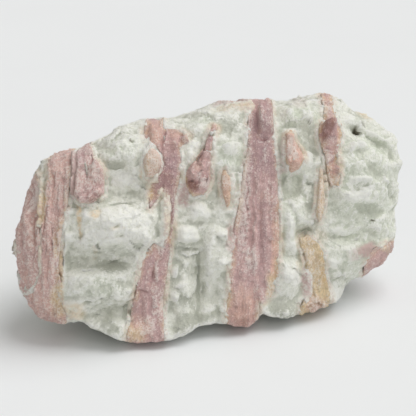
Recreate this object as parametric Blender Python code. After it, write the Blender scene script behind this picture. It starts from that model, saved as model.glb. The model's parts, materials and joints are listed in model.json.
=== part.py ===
"""A rubellite specimen: pink tourmaline crystals standing in a broken block of white albite.

The block is shaped in its own face frame, in millimetres: u to the right across the show face, v up
it and d out of it. FACE_TO_ROW then leans the face back, turns it and stands the block on z = 0.
"""

import math

import bmesh
import bpy
from mathutils import Matrix, Vector, geometry, noise

MM = 0.001

# The show face: how it leans and turns, how its plane skews, and where its middle stands, in mm.
FACE_LEAN = math.radians(22)
FACE_TURN = math.radians(-16)
FACE_SKEW = -0.27
FACE_MIDDLE = Vector((-0.5, -3.0, 23.9))

# How far the block bulges in front of its outline and behind it, in mm, and the form of the bulge.
FRONT_BULGE = 12.5
BACK_BULGE = 25.0
RIM_ROUNDNESS = 0.5
FACE_FLATNESS = 0.9

# The room between a crystal and its socket, and how far a socket reaches out of the block, in mm.
SOCKET_GAP = 0.3
CLEAR_OF_BLOCK = 60.0

# How much of the block around a crystal is thinned out with it, in mm.
AROUND_CRYSTAL = 1.5

# How often the sphere is cut that the block is shaped from, and the one for its crystals, and the
# triangles that the block keeps.
BLOCK_CUTS = 7
CRYSTAL_CUTS = 6
BLOCK_TRIANGLES = 3700

# The share of the block's unevenness that its show face and rim have, and the shares of its
# unevenness and of its lumps that its crystals have.
FACE_UNEVENNESS = 0.4
CRYSTAL_UNEVENNESS = 0.25
CRYSTAL_LUMPS = 0.65

# The unevenness: its swells' length and rise in mm, and the finer ones that ride on them.
SWELL_LENGTH = 18.0
SWELL_RISE = 1.8
SWELL_FADING = 1.0
SWELL_FINER = 2.1
SWELL_LAYERS = 3

# Its blocky steps: their size in mm and their tilt, and what draws a different tilt for each.
BLOCK_STEPS = [(15.0, 0.30), (6.5, 0.32)]
TILT_DRAW = 31.7

# How square a lump is: 2 is an ellipse, and more is squarer.
LUMP_SQUARENESS = 3

# How deep the grooves between a crystal's ribs are, in mm.
RIB_DEPTH = 0.6

# A flat-topped crystal: how far its sides start below the surface that it stands out of, how far
# the ribbed surface passes over its top, and how far off the slope of its top is taken, in mm.
CROWN_ROOT = 0.4
CROWN_COVER = 0.3
SLOPE_REACH = 2.0

# The sharpest corner that a socket's outline keeps, as the cosine of half its turn.
SHARPEST_CORNER = 0.5

# The block's outline seen square on to the show face, clockwise from its left end: (u, v) in mm.
OUTLINE = [
    (-43.3, -5.4), (-42.2, -2.0), (-40.5, 2.3), (-39.6, 6.6), (-37.6, 10.0), (-34.3, 12.0),
    (-30.0, 13.2), (-25.8, 14.8), (-19.9, 18.1), (-14.3, 19.8), (-8.8, 20.5), (-1.9, 22.5),
    (4.7, 24.2), (12.6, 25.0), (19.7, 25.6), (25.2, 26.6), (31.2, 26.0), (34.1, 23.2),
    (38.0, 21.6), (43.7, 17.9), (46.4, 13.4), (46.9, 11.0), (45.0, 9.1), (45.6, 4.3),
    (44.4, -1.0), (43.7, -8.8), (41.2, -12.9), (36.6, -15.4), (32.5, -19.0), (29.6, -22.4),
    (21.6, -26.4), (14.5, -27.0), (9.0, -29.4), (3.3, -29.2), (-1.0, -30.4), (-5.5, -33.8),
    (-9.9, -37.5), (-16.1, -37.5), (-20.5, -31.6), (-24.4, -28.4), (-28.6, -25.9), (-33.6, -25.2),
    (-37.4, -24.2), (-39.8, -21.7), (-42.0, -18.5), (-42.2, -13.5), (-43.8, -9.0),
]

# Broken faces that flatten the block: the way each faces, (u, v, d), and how far from the middle, mm.
BREAKS = [
    ((0.05, -0.12, -0.99), 23.0),
    ((0.14, 0.64, -0.76), 22.5),
    ((-0.34, 0.80, -0.50), 21.0),
    ((-0.66, 0.18, -0.73), 33.0),
    ((-0.88, -0.22, -0.42), 40.5),
    ((-0.35, -0.52, -0.78), 27.5),
    ((0.48, 0.12, -0.87), 26.5),
    ((0.80, 0.28, -0.52), 37.0),
    ((0.58, -0.48, -0.66), 31.0),
    ((0.10, -0.66, -0.74), 28.5),
]
BREAK_SHARPNESS = 0.94

# Rises and hollows (-) of the show face: middle u, v; half width, half height; lean, degrees; rise, mm.
FACE_LUMPS = [
    (-20.4, -4.1, 12.0, 5.8, 2, 3.0),
    (-25.0, -17.6, 9.5, 4.8, 0, 1.9),
    (-22.5, -27.4, 7.5, 4.2, -12, 2.2),
    (-18.8, 4.9, 6.0, 3.2, 0, -2.0),
    (-24.5, -11.9, 9.5, 2.4, 0, -1.8),
    (-22.4, -23.2, 7.0, 1.8, 0, -1.6),
    (-19.4, 13.4, 6.0, 4.6, 15, 1.6),
    (3.1, 12.2, 4.2, 5.6, 0, 1.6),
    (-2.2, 17.0, 3.4, 4.4, 0, 0.9),
    (-2.3, -16.5, 1.7, 10.5, -1, -2.0),
    (2.2, -9.0, 3.8, 6.9, 0, 1.8),
    (-5.4, -5.8, 3.4, 3.8, 0, 1.6),
    (-5.4, -19.0, 2.8, 9.0, 0, 1.3),
    (0.4, -18.4, 2.8, 3.8, 0, -1.0),
    (18.6, 5.8, 3.4, 3.6, 0, -2.4),
    (19.4, -1.8, 4.0, 4.8, 0, 1.2),
    (21.6, -5.4, 2.6, 2.2, 0, -2.4),
    (18.4, -15.8, 3.4, 5.2, 0, 1.8),
    (23.2, 14.4, 3.0, 5.0, 0, -1.4),
    (36.0, 6.2, 9.0, 8.4, 0, 1.9),
    (35.5, -6.6, 10.0, 2.3, -6, -1.7),
    (31.5, -12.6, 5.8, 5.4, 0, 1.3),
    (20.7, 21.8, 4.8, 3.4, 0, 1.3),
    (38.5, 15.2, 8.5, 1.5, -29, -1.9),
    (34.2, 17.8, 1.6, 1.9, 0, -2.6),
]

ROSE = (0.46, 0.29, 0.28)
MAUVE = (0.34, 0.20, 0.20)
SALMON = (0.55, 0.36, 0.29)
STRAW = (0.56, 0.46, 0.32)
ALBITE = (0.60, 0.62, 0.54)
CRYSTAL_ROUGHNESS = 0.35
ALBITE_ROUGHNESS = 0.6

# Crystals of the show face. Per crystal: its outline, (u, v) in mm; how far it stands proud and how
# deep its back lies, in mm; the share of its outline that its flat top keeps, where it has one; how
# its length leans, in degrees; the width of its ribs, in mm; its triangles; its colour.
FACE_CRYSTALS = {
    "end_crystal_outer": dict(
        outline=[
            (-39.4, 7.6), (-38.0, 8.3), (-37.5, 4.0), (-37.1, 0.7), (-37.3, -3.8), (-37.1, -7.2),
            (-37.4, -11.2), (-37.6, -14.2), (-38.6, -17.0), (-40.2, -18.8), (-43.6, -19.5),
            (-45.5, -15.0), (-46.0, -9.6), (-45.6, -4.8), (-44.2, -1.0), (-42.7, 2.5),
            (-41.0, 5.5),
        ],
        proud=0.4, back=-3.0, lean=3, rib=2.6, triangles=150, colour=MAUVE,
    ),
    "end_crystal_inner": dict(
        outline=[
            (-35.3, 14.5), (-29.9, 15.5), (-29.9, 9.6), (-30.4, 6.2), (-31.2, 1.8), (-31.4, -0.9),
            (-32.5, -7.1), (-33.0, -10.5), (-33.0, -13.8), (-32.5, -16.0), (-33.0, -19.4),
            (-31.5, -24.1), (-32.8, -28.5), (-36.5, -28.5), (-42.0, -26.5), (-44.0, -20.2),
            (-40.4, -19.5), (-38.2, -17.3), (-37.1, -14.2), (-36.9, -11.2), (-36.7, -7.2),
            (-36.8, -3.8), (-36.7, 0.7), (-35.4, 6.2), (-35.6, 9.6),
        ],
        proud=0.8, back=-2.0, lean=3, rib=2.0, triangles=250, colour=ROSE,
    ),
    "stub_crystal": dict(
        outline=[
            (-29.4, 11.7), (-28.4, 13.5), (-26.8, 14.6), (-25.9, 12.8), (-25.6, 10.9),
            (-24.6, 10.3), (-23.1, 8.3), (-23.2, 3.0), (-25.7, 1.1), (-28.2, 1.1), (-29.5, 2.6),
        ],
        proud=1.9, back=-2.0, crown=0.82, lean=3, rib=2.2, triangles=70, colour=ROSE,
    ),
    "second_crystal": dict(
        outline=[
            (-14.1, 14.1), (-14.4, 17.5), (-13.6, 22.5), (-10.4, 22.5), (-10.1, 18.4),
            (-6.3, 17.5), (-4.4, 16.4), (-4.4, 14.8), (-5.9, 14.0), (-6.0, 9.0), (-6.8, 5.2),
            (-7.6, 1.8), (-7.9, -3.8), (-9.0, -11.7), (-9.5, -17.3), (-10.1, -21.8),
            (-9.8, -36.5), (-17.6, -36.5), (-18.1, -27.3), (-16.4, -20.2), (-15.5, -15.0),
            (-14.8, -11.2), (-12.1, -7.9), (-10.4, -8.8), (-9.4, -6.0), (-9.0, 1.5), (-9.8, 4.2),
            (-13.0, -0.2), (-13.2, 4.0), (-12.3, 6.0), (-10.4, 7.5), (-9.7, 9.7), (-10.2, 12.3),
            (-11.6, 13.6), (-13.2, 13.2),
        ],
        proud=0.5, back=-1.0, lean=5, rib=2.4, triangles=290, colour=ROSE,
    ),
    "knob_crystal": dict(
        outline=[
            (-14.2, 11.6), (-13.1, 12.7), (-11.7, 13.1), (-10.6, 12.0), (-10.2, 9.7),
            (-10.7, 7.9), (-12.1, 6.5), (-13.7, 6.3), (-14.6, 8.0), (-14.9, 10.1),
        ],
        proud=2.3, back=4.0, crown=0.6, lean=0, rib=0, triangles=60, colour=SALMON,
    ),
    "lozenge_crystal": dict(
        outline=[
            (-5.4, 7.2), (-4.5, 9.2), (-2.9, 10.8), (-1.8, 11.9), (-0.6, 13.4), (-0.3, 15.6),
            (1.0, 18.4), (2.1, 18.4), (1.5, 15.6), (1.0, 12.4), (0.9, 9.0), (0.5, 6.3),
            (-0.2, 4.1), (-1.1, 2.9), (-3.4, 2.7), (-5.0, 4.5),
        ],
        proud=1.9, back=2.0, crown=0.7, lean=-4, rib=1.8, triangles=80, colour=ROSE,
    ),
    "short_sliver": dict(
        outline=[
            (2.9, 8.6), (3.9, 9.3), (5.0, 7.5), (5.3, 4.1), (5.1, 0.7), (4.2, -0.3), (3.5, 1.8),
            (3.1, 4.5),
        ],
        proud=1.2, back=5.0, crown=0.7, lean=-3, rib=0, triangles=60, colour=SALMON,
    ),
    "main_crystal": dict(
        outline=[
            (9.3, 28.5), (14.1, 28.5), (14.7, 21.3), (15.1, 13.3), (15.8, 6.4), (16.1, -0.5),
            (16.1, -15.4), (15.6, -18.4), (14.2, -19.9), (11.6, -21.0), (11.3, -24.5),
            (10.4, -31.5), (4.6, -31.5), (3.9, -23.7), (4.8, -17.5), (5.5, -8.4), (5.9, -4.6),
            (6.8, -0.5), (7.6, 6.1), (8.9, 13.2), (9.2, 17.8),
        ],
        proud=0.6, back=-3.0, lean=3, rib=2.9, triangles=320, colour=ROSE,
    ),
    "tilted_crystal": dict(
        outline=[
            (17.5, 16.5), (19.0, 17.1), (20.2, 14.9), (21.4, 12.6), (21.8, 10.6), (20.7, 8.7),
            (18.8, 8.2), (17.8, 9.9), (17.2, 13.3),
        ],
        proud=1.7, back=4.0, crown=0.7, lean=-12, rib=2.0, triangles=70, colour=SALMON,
    ),
    "notched_crystal": dict(
        outline=[
            (26.3, 29.0), (28.9, 29.0), (29.2, 22.7), (29.6, 20.4), (30.6, 19.0), (30.8, 16.2),
            (29.9, 13.9), (29.9, 11.1), (30.3, 7.6), (29.9, 5.1), (28.0, 4.9), (27.0, 12.2),
            (26.1, 13.9), (25.4, 16.2), (25.6, 18.9), (26.7, 20.8), (26.9, 23.1), (26.4, 24.5),
        ],
        proud=0.9, back=-3.0, lean=-2, rib=2.2, triangles=150, colour=ROSE,
    ),
    "long_sliver": dict(
        outline=[
            (25.7, 9.2), (26.4, 9.3), (26.7, 5.3), (26.7, 1.2), (26.1, -1.9), (25.4, -3.1),
            (24.7, -1.4), (25.1, 2.3), (25.4, 6.0),
        ],
        proud=0.9, back=4.0, crown=0.7, lean=5, rib=0, triangles=60, colour=STRAW,
    ),
    "stained_crystal": dict(
        outline=[
            (20.9, -6.8), (22.9, -6.4), (25.0, -7.9), (26.4, -10.2), (27.2, -16.2),
            (28.1, -19.5), (27.5, -24.0), (25.5, -29.0), (20.6, -29.0), (21.0, -22.2),
            (22.5, -19.4), (22.3, -11.5), (21.4, -9.2),
        ],
        proud=0.6, back=1.0, lean=-8, rib=2.6, triangles=120, colour=STRAW,
    ),
    "corner_crystal": dict(
        outline=[
            (36.0, -18.0), (36.8, -12.3), (39.2, -9.7), (41.6, -8.3), (46.0, -7.2),
            (47.0, -11.0), (43.5, -15.5), (39.0, -18.5),
        ],
        proud=0.9, back=-7.0, lean=-40, rib=2.4, triangles=70, colour=ROSE,
    ),
    "crest_crystal": dict(
        outline=[(3.0, 22.4), (4.0, 28.0), (8.9, 28.5), (8.8, 23.4), (7.4, 22.7), (5.1, 22.0)],
        proud=0.5, back=-14.0, lean=2, rib=1.8, triangles=70, colour=SALMON,
    ),
}

# Crystals of the back, given in the same way.
BACK_CRYSTALS = {
    "back_crystal_tall": dict(
        outline=[
            (-12.0, 28.0), (-4.5, 28.0), (-3.0, 12.0), (-2.6, -2.0), (-3.5, -16.0), (-5.0, -34.0),
            (-13.5, -34.0), (-12.6, -16.0), (-11.8, 0.0), (-12.2, 14.0),
        ],
        proud=0.9, back=-7.0, lean=4, rib=2.8, triangles=250, colour=ROSE,
    ),
    "back_crystal_short": dict(
        outline=[
            (21.0, 13.0), (24.5, 15.0), (27.5, 10.0), (27.8, 0.0), (26.0, -8.0), (22.5, -10.5),
            (20.2, -6.0), (20.0, 4.0),
        ],
        proud=1.0, back=-13.0, lean=0, rib=2.4, triangles=120, colour=MAUVE,
    ),
    "back_sliver": dict(
        outline=[
            (8.0, 8.0), (9.6, 9.4), (11.2, 3.0), (11.0, -7.0), (9.2, -12.5), (7.6, -6.0),
            (7.4, 1.0),
        ],
        proud=0.6, back=-14.0, lean=2, rib=0, triangles=60, colour=SALMON,
    ),
}


def face_to_row():
    """From (u, v, d) in mm on the show face to metres in the object's own frame."""
    skew = Matrix.Identity(4)
    skew[2][0] = FACE_SKEW
    upright = Matrix(((1, 0, 0, 0), (0, 0, -1, 0), (0, 1, 0, 0), (0, 0, 0, 1)))
    lean = Matrix.Rotation(-FACE_LEAN, 4, "X")
    turn = Matrix.Rotation(FACE_TURN, 4, "Z")
    stand = Matrix.Translation(FACE_MIDDLE)
    return Matrix.Diagonal((MM, MM, MM, 1)) @ stand @ turn @ lean @ upright @ skew


FACE_TO_ROW = face_to_row()


def outline_reach(angle):
    """How far the outline lies from the middle of the face in one direction, in mm."""
    ray = Vector((math.cos(angle), math.sin(angle)))
    for start, end in zip(OUTLINE, OUTLINE[1:] + OUTLINE[:1]):
        corner = Vector(start)
        edge = Vector(end) - corner
        across = ray.cross(edge)
        if abs(across) < 1e-9:
            continue
        reach = corner.cross(edge) / across
        share = corner.cross(ray) / across
        if reach > 0 and -1e-6 <= share <= 1 + 1e-6:
            return reach
    raise ValueError(f"the outline has a gap at {math.degrees(angle):.1f} degrees")


def bulge_depth(place, bulge):
    """The depth of the even block's surface at one (u, v) place of the face, in mm."""
    share = min(1.0, place.length / outline_reach(math.atan2(place.y, place.x)))
    across = share ** (1 / RIM_ROUNDNESS)
    return bulge * (1 - across**2) ** (FACE_FLATNESS / 2)


def lump_rise(u, v):
    """The rise of the show face's lumps and hollows at one place, in mm."""
    rise = 0.0
    for middle_u, middle_v, half_width, half_height, lean, height in FACE_LUMPS:
        turned = math.radians(lean)
        over, up = u - middle_u, v - middle_v
        across = (over * math.cos(turned) + up * math.sin(turned)) / half_width
        along = (up * math.cos(turned) - over * math.sin(turned)) / half_height
        nearness = 1 - (abs(across) ** LUMP_SQUARENESS + abs(along) ** LUMP_SQUARENESS)
        if nearness > 0:
            rise += height * math.sin(nearness * math.pi / 2) ** 2
    return rise


def unevenness(place):
    """The unevenness of a broken surface at one place, in mm: soft swells with blocky steps."""
    swell = noise.fractal(place / SWELL_LENGTH, SWELL_FADING, SWELL_FINER, SWELL_LAYERS)
    rise = swell * SWELL_RISE
    for size, tilt_share in BLOCK_STEPS:
        cell = place / size
        middle = noise.voronoi(cell)[1][0]
        tilt = noise.cell_vector(middle * TILT_DRAW) - Vector((0.5, 0.5, 0.5))
        rise += (cell - middle).dot(tilt) * size * tilt_share
    return rise


def block_mesh(cuts, uneven, lumpy):
    """The whole block in the face frame, in mm, with a share of its unevenness and its lumps."""
    bm = bmesh.new()
    bmesh.ops.create_icosphere(bm, subdivisions=cuts, radius=1)
    for vert in bm.verts:
        x, y, z = vert.co
        angle = math.atan2(y, x)
        reach = outline_reach(angle) * math.hypot(x, y) ** RIM_ROUNDNESS
        bulge = FRONT_BULGE if z > 0 else BACK_BULGE
        depth = math.copysign(bulge * abs(z) ** FACE_FLATNESS, z)
        place = Vector((reach * math.cos(angle), reach * math.sin(angle), depth))
        for facing, distance in BREAKS:
            out = Vector(facing).normalized()
            place -= out * max(0.0, place.dot(out) - distance) * BREAK_SHARPNESS
        vert.co = place
    bm.normal_update()
    for vert in bm.verts:
        front = math.sqrt(max(0.0, vert.normal.z))
        behind = max(0.0, -vert.normal.z)
        share = uneven * (FACE_UNEVENNESS + (1 - FACE_UNEVENNESS) * behind)
        vert.co += vert.normal * (unevenness(vert.co) * share)
        vert.co.z += lump_rise(vert.co.x, vert.co.y) * front * lumpy
    return bm


def mesh_object(name, bm):
    """A mesh object made from a bmesh in the face frame, which is freed."""
    bm.transform(FACE_TO_ROW)
    mesh = bpy.data.meshes.new(name)
    bm.to_mesh(mesh)
    bm.free()
    made = bpy.data.objects.new(name, mesh)
    bpy.context.scene.collection.objects.link(made)
    return made


def bake(made):
    """Gives an object the mesh that its modifiers make, merged and in triangles."""
    bpy.context.view_layer.update()
    evaluated = made.evaluated_get(bpy.context.evaluated_depsgraph_get())
    bm = bmesh.new()
    bm.from_mesh(evaluated.to_mesh())
    evaluated.to_mesh_clear()
    made.modifiers.clear()
    bmesh.ops.remove_doubles(bm, verts=bm.verts, dist=1e-6)
    bmesh.ops.triangulate(bm, faces=bm.faces)
    bm.to_mesh(made.data)
    bm.free()


def boolean(made, other, operation, solver="EXACT"):
    """Cuts an object with another one, or keeps what both share, and drops the other one."""
    cut = made.modifiers.new(operation.lower(), "BOOLEAN")
    cut.operation = operation
    cut.solver = solver
    cut.object = other
    bake(made)
    bpy.data.objects.remove(other)


def keep_largest(bm):
    """Deletes all but the largest of a bmesh's separate bodies."""
    left = set(bm.faces)
    bodies = []
    while left:
        body = {left.pop()}
        front = list(body)
        while front:
            face = front.pop()
            near = {other for edge in face.edges for other in edge.link_faces} & left
            left -= near
            body |= near
            front.extend(near)
        bodies.append(body)
    largest = max(bodies, key=lambda body: sum(face.calc_area() for face in body))
    spare = [face for body in bodies if body is not largest for face in body]
    bmesh.ops.delete(bm, geom=spare, context="FACES")


def stand_on_base(made):
    """Cuts an object off flat at z = 0 and drops what the cuts left loose."""
    bm = bmesh.new()
    bm.from_mesh(made.data)
    everything = bm.verts[:] + bm.edges[:] + bm.faces[:]
    cut = bmesh.ops.bisect_plane(
        bm, geom=everything, dist=1e-7, plane_co=(0, 0, 0), plane_no=(0, 0, 1), clear_inner=True
    )
    rim = [item for item in cut["geom_cut"] if isinstance(item, bmesh.types.BMEdge)]
    bmesh.ops.holes_fill(bm, edges=rim, sides=0)
    bmesh.ops.triangulate(bm, faces=bm.faces)
    keep_largest(bm)
    bm.to_mesh(made.data)
    bm.free()


def thin_out(made, triangles):
    """Keeps about this many of an object's triangles, where its shape needs them most."""
    thinning = made.modifiers.new("thin out", "DECIMATE")
    thinning.ratio = min(1.0, triangles / len(made.data.polygons))
    bake(made)


def grown(outline, gap):
    """The outline moved outwards by a gap, every corner with its two edges."""
    corners = [Vector(point) for point in outline]
    area = sum(a.cross(b) for a, b in zip(corners, corners[1:] + corners[:1]))
    outwards = math.copysign(gap, area)
    moved = []
    for before, here, after in zip(corners[-1:] + corners, corners, corners[1:] + corners[:1]):
        first = (here - before).normalized()
        second = (after - here).normalized()
        first_out = Vector((first.y, -first.x))
        middle_out = (first_out + Vector((second.y, -second.x))).normalized()
        half_turn = max(SHARPEST_CORNER, middle_out.dot(first_out))
        moved.append(here + middle_out * outwards / half_turn)
    return moved


def crown_depth(facts, middle):
    """The depth and the slope of the plane through a crystal's flat top, in mm."""
    slope = []
    for reach in (Vector((SLOPE_REACH, 0)), Vector((0, SLOPE_REACH))):
        ahead = bulge_depth(middle + reach, FRONT_BULGE)
        behind = bulge_depth(middle - reach, FRONT_BULGE)
        slope.append((ahead - behind) / (2 * SLOPE_REACH))
    return bulge_depth(middle, FRONT_BULGE) + facts["proud"], Vector(slope)


def column(name, facts, side, gap=0.0, crowned=False):
    """The straight column that a crystal fills, flat-topped if crowned, else clear of the block."""
    corners = grown(facts["outline"], gap)
    middle = sum(corners, Vector((0, 0))) / len(corners)
    back = facts["back"] - gap * side
    if crowned:
        top, slope = crown_depth(facts, middle)
        share = facts["crown"]
        levels = [(top, share, slope), (top - facts["proud"] - CROWN_ROOT, 1.0, slope)]
    else:
        levels = [(CLEAR_OF_BLOCK * side, 1.0, Vector((0, 0)))]
    levels.append((back, 1.0, Vector((0, 0))))

    bm = bmesh.new()
    rim_verts = [bm.verts.new((*corner, 0)) for corner in corners]
    rim = bm.faces.new(rim_verts).edges[:]
    last_share = 1.0
    for number, (depth, share, slope) in enumerate(levels):
        if number > 0:
            made = bmesh.ops.extrude_edge_only(bm, edges=rim)["geom"]
            rim_verts = [item for item in made if isinstance(item, bmesh.types.BMVert)]
            edges = [item for item in made if isinstance(item, bmesh.types.BMEdge)]
            rim = [edge for edge in edges if set(edge.verts) <= set(rim_verts)]
        for vert in rim_verts:
            offset = (vert.co.xy - middle) * share / last_share
            vert.co = (*(middle + offset), depth + offset.dot(slope))
        last_share = share
    bmesh.ops.holes_fill(bm, edges=rim, sides=0)
    bmesh.ops.recalc_face_normals(bm, faces=bm.faces)
    bmesh.ops.triangulate(bm, faces=bm.faces)
    return mesh_object(name, bm)


def near_outline(bm, outline):
    """The faces of a bmesh in and around an outline's box."""
    across = [u for u, v in outline]
    upwards = [v for u, v in outline]
    near = []
    for face in bm.faces:
        u, v, d = face.calc_center_median()
        in_width = min(across) - AROUND_CRYSTAL < u < max(across) + AROUND_CRYSTAL
        in_height = min(upwards) - AROUND_CRYSTAL < v < max(upwards) + AROUND_CRYSTAL
        if in_width and in_height:
            near.append(face)
    return near


def raised_block(block, facts):
    """The block with its surface raised to a crystal's, ribbed along the crystal's length."""
    bm = block.copy()
    edges = {edge for face in near_outline(bm, facts["outline"]) for edge in face.edges}
    bmesh.ops.subdivide_edges(bm, edges=list(edges), cuts=1, use_grid_fill=True)
    bmesh.ops.triangulate(bm, faces=bm.faces)
    bm.normal_update()
    lean = math.tan(math.radians(facts["lean"]))
    for vert in bm.verts:
        rise = facts["proud"] + (CROWN_COVER if "crown" in facts else 0.0)
        if facts["rib"]:
            across = (vert.co.x + lean * vert.co.y) / facts["rib"]
            rise += RIB_DEPTH * (abs(math.sin(math.pi * across)) - 1)
        vert.co += vert.normal * rise * math.sqrt(abs(vert.normal.z))
    return bm


def make_material(name, colour, roughness):
    made = bpy.data.materials.new(name)
    made.use_nodes = True
    shader = made.node_tree.nodes["Principled BSDF"]
    shader.inputs["Base Color"].default_value = (*colour, 1)
    shader.inputs["Roughness"].default_value = roughness
    shader.inputs["Metallic"].default_value = 0.0
    return made


def make_crystal(block, name, facts, side):
    """One crystal: its column up to the block's raised and thinned surface, on the base."""
    made = mesh_object(name, raised_block(block, facts))
    hull = [facts["outline"][number] for number in geometry.convex_hull_2d(facts["outline"])]
    around = column(name + "_around", dict(facts, outline=hull), side, AROUND_CRYSTAL)
    shape = column(name + "_shape", facts, side, crowned="crown" in facts)
    # The exact solver finds nothing in common where the block's folded rim is near the column.
    boolean(made, around, "INTERSECT", "MANIFOLD")
    thin_out(made, facts["triangles"])
    boolean(made, shape, "INTERSECT", "MANIFOLD")
    stand_on_base(made)
    made.data.materials.append(make_material(name, facts["colour"], CRYSTAL_ROUGHNESS))
    return made


def make_matrix():
    """The albite block with a socket for every crystal."""
    made = mesh_object("albite_matrix", block_mesh(BLOCK_CUTS, 1.0, 1.0))
    thin_out(made, BLOCK_TRIANGLES)
    for side, crystals in ((1, FACE_CRYSTALS), (-1, BACK_CRYSTALS)):
        for name, facts in crystals.items():
            boolean(made, column(name + "_socket", facts, side, SOCKET_GAP), "DIFFERENCE")
    stand_on_base(made)
    made.data.materials.append(make_material("albite", ALBITE, ALBITE_ROUGHNESS))
    return made


for old in list(bpy.data.objects):
    bpy.data.objects.remove(old)

make_matrix()
smooth_block = block_mesh(CRYSTAL_CUTS, CRYSTAL_UNEVENNESS, CRYSTAL_LUMPS)
for crystal_name, crystal_facts in FACE_CRYSTALS.items():
    make_crystal(smooth_block, crystal_name, crystal_facts, 1)
for crystal_name, crystal_facts in BACK_CRYSTALS.items():
    make_crystal(smooth_block, crystal_name, crystal_facts, -1)
smooth_block.free()
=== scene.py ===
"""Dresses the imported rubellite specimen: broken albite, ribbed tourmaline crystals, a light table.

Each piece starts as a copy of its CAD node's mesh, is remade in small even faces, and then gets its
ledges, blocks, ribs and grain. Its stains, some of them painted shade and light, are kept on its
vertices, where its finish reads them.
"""

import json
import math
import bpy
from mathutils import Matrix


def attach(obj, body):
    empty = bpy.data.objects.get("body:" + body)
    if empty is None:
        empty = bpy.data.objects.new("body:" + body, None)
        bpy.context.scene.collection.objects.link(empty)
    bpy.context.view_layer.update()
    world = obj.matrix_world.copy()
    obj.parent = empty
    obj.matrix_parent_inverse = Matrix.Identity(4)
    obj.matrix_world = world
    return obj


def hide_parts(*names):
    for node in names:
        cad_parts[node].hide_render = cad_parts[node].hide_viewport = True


bl_info = {
    "name": "Rubellite Specimen",
    "version": (1, 0, 0),
    "blender": (4, 5, 0),
    "location": "3D View > Sidebar > Specimen",
    "description": "Broken albite with ribbed tourmaline crystals, on a plain light table",
    "category": "Object",
}

import bmesh
import bpy
import numpy as np
from bpy.props import FloatProperty, FloatVectorProperty, IntProperty, PointerProperty
from bpy.types import Operator, Panel, PropertyGroup
from mathutils import Matrix, Vector, noise
from mathutils.bvhtree import BVHTree

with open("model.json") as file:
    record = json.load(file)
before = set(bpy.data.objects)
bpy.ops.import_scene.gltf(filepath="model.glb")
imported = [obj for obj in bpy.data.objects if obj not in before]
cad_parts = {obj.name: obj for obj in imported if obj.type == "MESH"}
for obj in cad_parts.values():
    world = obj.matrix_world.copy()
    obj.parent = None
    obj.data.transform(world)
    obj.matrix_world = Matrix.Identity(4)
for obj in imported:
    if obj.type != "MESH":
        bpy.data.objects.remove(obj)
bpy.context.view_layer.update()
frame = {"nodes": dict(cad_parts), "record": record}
MM = 0.001

# The show face: how it leans back and turns, its middle in mm, and where it is seen from, in mm.
FACE_LEAN = math.radians(22)
FACE_TURN = math.radians(-16)
FACE_MIDDLE = np.array((-0.5, -3.0, 23.9))
VIEW_DISTANCE = 420.0
FACE_TURNED = Matrix.Rotation(FACE_TURN, 3, "Z") @ Matrix.Rotation(math.pi / 2 - FACE_LEAN, 3, "X")
FACE_AXES = np.array(FACE_TURNED)

# The line through the stone's length, from end to end in mm: its surface rises square to it.
SPINE_START = np.array((-24.0, 0.0, 21.0))
SPINE_END = np.array((24.0, 0.0, 23.0))

# How long the stone's slow swells are, and how long the waves are that keep its forms from looking
# even, with how far those move them, in mm.
SWELL = 7.0
WANDERS = [(4.0, 0.6), (1.1, 0.15)]

# Broken blocks: their size in mm, and what draws their tilts.
ALBITE_BLOCKS = [(5.0, 31.7), (2.4, 17.3), (1.3, 7.7)]
CRYSTAL_BLOCK = (2.6, 23.9)
CRYSTAL_CRUMB = (1.2, 11.3)

# How much blocks and crumbs stand out on a crystal, as a share; how high its lumps are, how long its
# lumps and its grains are, and how long the albite's grains are, all in mm.
CRYSTAL_BLOCKS = 0.16
CRYSTAL_CRUMBS = 0.3
CRYSTAL_LUMPS = 0.22
LUMP_LENGTH = 2.2
CRYSTAL_GRAIN_LENGTH = 0.9
GRAIN_LENGTH = 1.0

# A crystal's ribs: how many times longer than wide they are, and how many times deeper.
RIB_LENGTH = 16
RIB_DEPTH = 8

# How far above the base the stone gets its full unevenness, in mm.
ABOVE_BASE = 2.2

# The foot of the show face: how far it draws in at the base, how far it juts out above that, how
# ragged it is there and over what length, how high the jutting part is, and how far behind the show
# face both fade out, all in mm.
FOOT_DRAWN_IN = 7.0
FOOT_JUTS_OUT = 2.2
FOOT_RAGGED = 0.9
FOOT_RAGGED_LENGTH = 3.0
FOOT_JUT_HEIGHT = 6.5
FOOT_FADE_FROM = -2.0
FOOT_FADE_TO = -9.0

# How high the drawn-in part of the foot is along the show face: places across and heights, in mm.
FOOT_ACROSS = (-36, -32, -29.7, -27.4, -25, -23, -21, -17, -13, -7, -5, -3, 0, 4, 8, 10.5, 12.3,
               14.5, 17, 22, 30)
FOOT_GAPS = (4, 7, 8, 6.7, 5.0, 4.0, 3.4, 1.7, 2.2, 1.8, 2.6, 3.6, 3.8, 3.4, 2.2, 2.2, 4.8,
             3.8, 2.9, 2.4, 3)

# How far behind the show face its ledges and stains fade out, in mm.
FADE_FROM = -8.0
FADE_TO = -16.0

# Where crystals and albite meet, in mm: how far a crystal grows into its gap, how far its copy in
# the albite swells to close it, how far that sinks out of sight, how far in from the rim and over
# what width, how ragged the albite's edge is, over what lengths, and how far it draws back from a
# crystal at most.
GROWN = 0.15
CLOSE_GAP = 0.35
SINK = 1.2
OVERLAP = 0.25
SINK_EDGE = 0.45
RAGGED = 0.6
RAGGED_LENGTHS = (3.2, 1.1)
DRAWN_BACK = 0.1

# How far from a crystal's rim the albite's hollows are filled, in mm, how much, and how wide the
# hollows are, in rounds of smoothing.
FILL_REACH = 1.5
FILL = 1.1
FILL_ROUNDS = 30

# How wide the hollows are that the finishes darken with painted shade, in rounds of smoothing, and
# how far a crystal's ridges count as the opposite of one, in mm.
HOLLOW_ROUNDS = 8
CRYSTAL_RIDGE = 0.08

# How far from the albite a crystal counts as its rim, and over what length that fades, in mm.
RIM = 0.6
RIM_FADE = 1.2

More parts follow.
